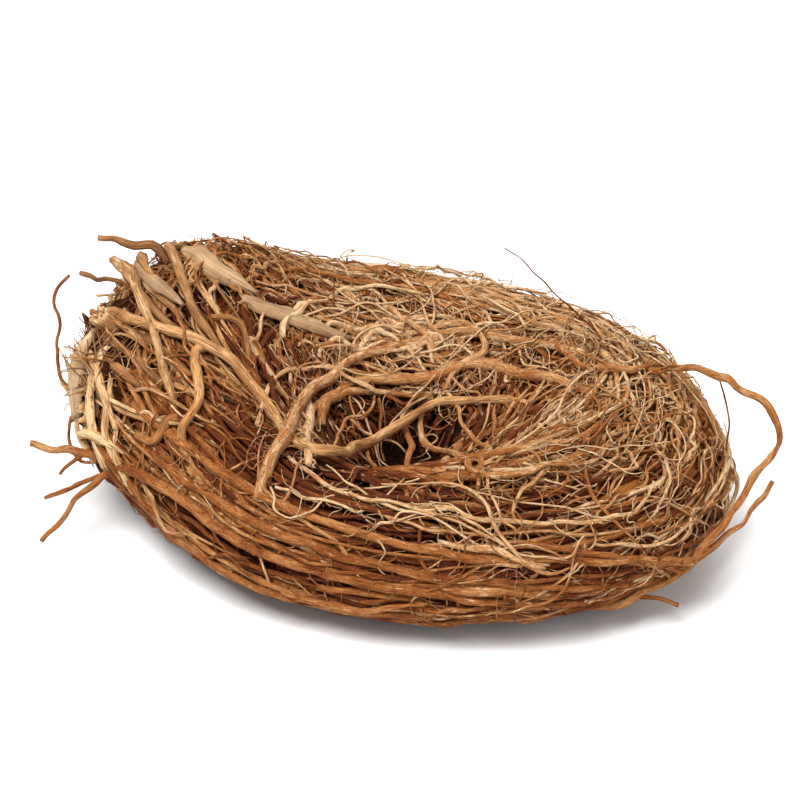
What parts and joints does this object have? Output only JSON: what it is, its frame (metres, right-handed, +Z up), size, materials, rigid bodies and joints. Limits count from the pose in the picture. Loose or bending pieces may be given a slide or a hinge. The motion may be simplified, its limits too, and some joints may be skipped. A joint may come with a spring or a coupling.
{
  "type": "dried vetiver root",
  "caption": "Dried vetiver root clump: long brown roots folded round into an oval nest, with the pale woody crown and cut stem bases at one end.",
  "frame": {"origin": "middle of the flat spot under the nest that it rests on", "axes": "+X along the nest away from the crown, +Y from the open front to the higher back, +Z up"},
  "size_m": [0.1731, 0.1095, 0.0612],
  "materials": {
    "root_bark": "matte, wrinkled lengthwise",
    "crown_wood": "matte, fibrous",
    "dry_leaf": "matte, papery"
  },
  "bodies": {
    "root": {"root_nest": "root_bark", "crown": "crown_wood", "sheath_upper": "dry_leaf", "sheath_back": "dry_leaf", "sheath_crown": "dry_leaf", "sheath_left": "dry_leaf"}
  },
  "joints": []
}
